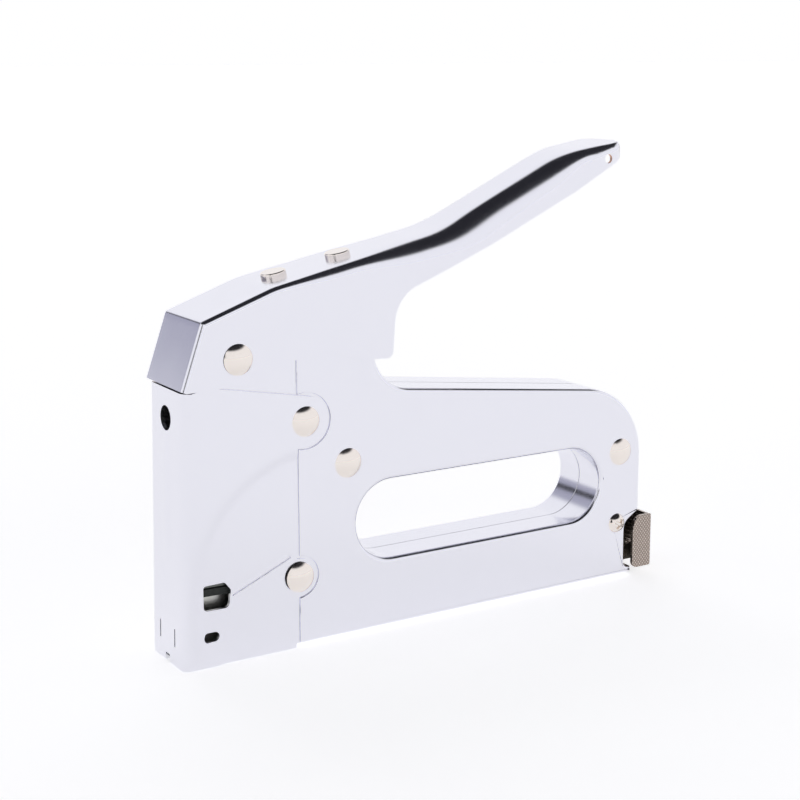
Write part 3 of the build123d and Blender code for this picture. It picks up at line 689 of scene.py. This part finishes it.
world = bpy.data.worlds.new("light tent")
bpy.context.scene.world = world
world.use_nodes = True
tent, wires = world.node_tree.nodes, world.node_tree.links
sky = tent["Background"]
sky.inputs["Strength"].default_value = 1.0
gaze = tent.new("ShaderNodeTexCoord")
split = tent.new("ShaderNodeSeparateXYZ")
wires.new(gaze.outputs["Generated"], split.inputs["Vector"])


def tent_edge(value, low, high, dark_low, dark_high):
    """A soft edge between two shades, from low to high along one direction of the tent."""
    edge_of_panel = tent.new("ShaderNodeMapRange")
    edge_of_panel.interpolation_type = "SMOOTHSTEP"
    edge_of_panel.inputs["From Min"].default_value = low
    edge_of_panel.inputs["From Max"].default_value = high
    edge_of_panel.inputs["To Min"].default_value = dark_low
    edge_of_panel.inputs["To Max"].default_value = dark_high
    wires.new(value, edge_of_panel.inputs["Value"])
    return edge_of_panel.outputs["Result"]


def tent_math(operation, one, two):
    result = tent.new("ShaderNodeMath")
    result.operation = operation
    wires.new(one, result.inputs[0])
    wires.new(two, result.inputs[1])
    return result.outputs["Value"]


def tent_product(one, two):
    return tent_math("MULTIPLY", one, two)


# The open top of the tent, dark, leans towards the near side.
opening = tent_product(tent_edge(split.outputs["Z"], 0.52, 0.66, 0.0, 1.0),
                       tent_edge(split.outputs["Y"], 0.40, 0.60, 1.0, 0.0))
# The far left wall of the tent is a grey panel.
grey = tent_product(tent_edge(split.outputs["X"], -0.30, -0.10, 1.0, 0.0),
                    tent_product(tent_edge(split.outputs["Y"], 0.55, 0.70, 0.0, 1.0),
                                 tent_edge(split.outputs["Z"], 0.02, 0.10, 0.0, 1.0)))
# Over the grey panel the tent has a dark seam.
seam = tent_product(tent_product(tent_edge(split.outputs["X"], -0.26, -0.20, 1.0, 0.0),
                                 tent_edge(split.outputs["Y"], 0.55, 0.62, 0.0, 1.0)),
                    tent_product(tent_edge(split.outputs["Z"], 0.25, 0.28, 0.0, 1.0),
                                 tent_edge(split.outputs["Z"], 0.40, 0.44, 1.0, 0.0)))
# A narrow dark card stands at the left of the near side.
card = tent_product(tent_product(tent_edge(split.outputs["X"], -0.72, -0.66, 1.0, 0.0),
                                 tent_edge(split.outputs["Z"], 0.05, 0.08, 0.0, 1.0)),
                    tent_product(tent_edge(split.outputs["Y"], -0.70, -0.64, 0.0, 1.0),
                                 tent_edge(split.outputs["Y"], -0.40, -0.34, 1.0, 0.0)))
dark = tent_math("MAXIMUM", tent_math("MAXIMUM", opening, card), seam)
shade = tent.new("ShaderNodeMix")
shade.data_type = "RGBA"
shade.inputs["A"].default_value = (1.0, 1.0, 1.03, 1)
shade.inputs["B"].default_value = (0.42, 0.42, 0.52, 1)
wires.new(grey, shade.inputs["Factor"])
cover_over = tent.new("ShaderNodeMix")
cover_over.data_type = "RGBA"
cover_over.inputs["B"].default_value = (0.02, 0.02, 0.025, 1)
wires.new(dark, cover_over.inputs["Factor"])
wires.new(shade.outputs["Result"], cover_over.inputs["A"])
wires.new(cover_over.outputs["Result"], sky.inputs["Color"])

bpy.context.scene.view_settings.view_transform = "Standard"

# The lens stands at the nose end of the near side, a little above the rail, and looks down slightly.
TURN, DROP, ROLL = math.radians(31.42), math.radians(10.97), math.radians(-0.16)
FOCAL = 71.26
SENSOR = 36.0
SHIFT = 0.05
DISTANCE = 0.54196
AIM = Vector((NOSE_X + 90 * MM, -0.8 * MM, 70 * MM))
AIM_OFFSET = (0.0083125, 0.0695875)      # shares of the frame's width, to the right and down

forward = Vector((math.sin(TURN) * math.cos(DROP), math.cos(TURN) * math.cos(DROP), -math.sin(DROP)))
right = Vector((math.cos(TURN), -math.sin(TURN), 0))
upward = right.cross(forward)
right, upward = (right * math.cos(ROLL) + upward * math.sin(ROLL),
                 upward * math.cos(ROLL) - right * math.sin(ROLL))
spread = SENSOR / FOCAL * DISTANCE
camera_data = bpy.data.cameras.new("camera")
camera = bpy.data.objects.new("camera", camera_data)
bpy.context.scene.collection.objects.link(camera)
camera_data.lens = FOCAL
camera_data.sensor_width = SENSOR
camera_data.shift_y = -SHIFT
camera_data.clip_start = 0.01
camera.location = AIM - forward * DISTANCE + (upward * AIM_OFFSET[1] - right * AIM_OFFSET[0]) * spread
camera.rotation_mode = "QUATERNION"
camera.rotation_quaternion = Matrix((right, upward, -forward)).transposed().to_quaternion()
bpy.context.scene.camera = camera
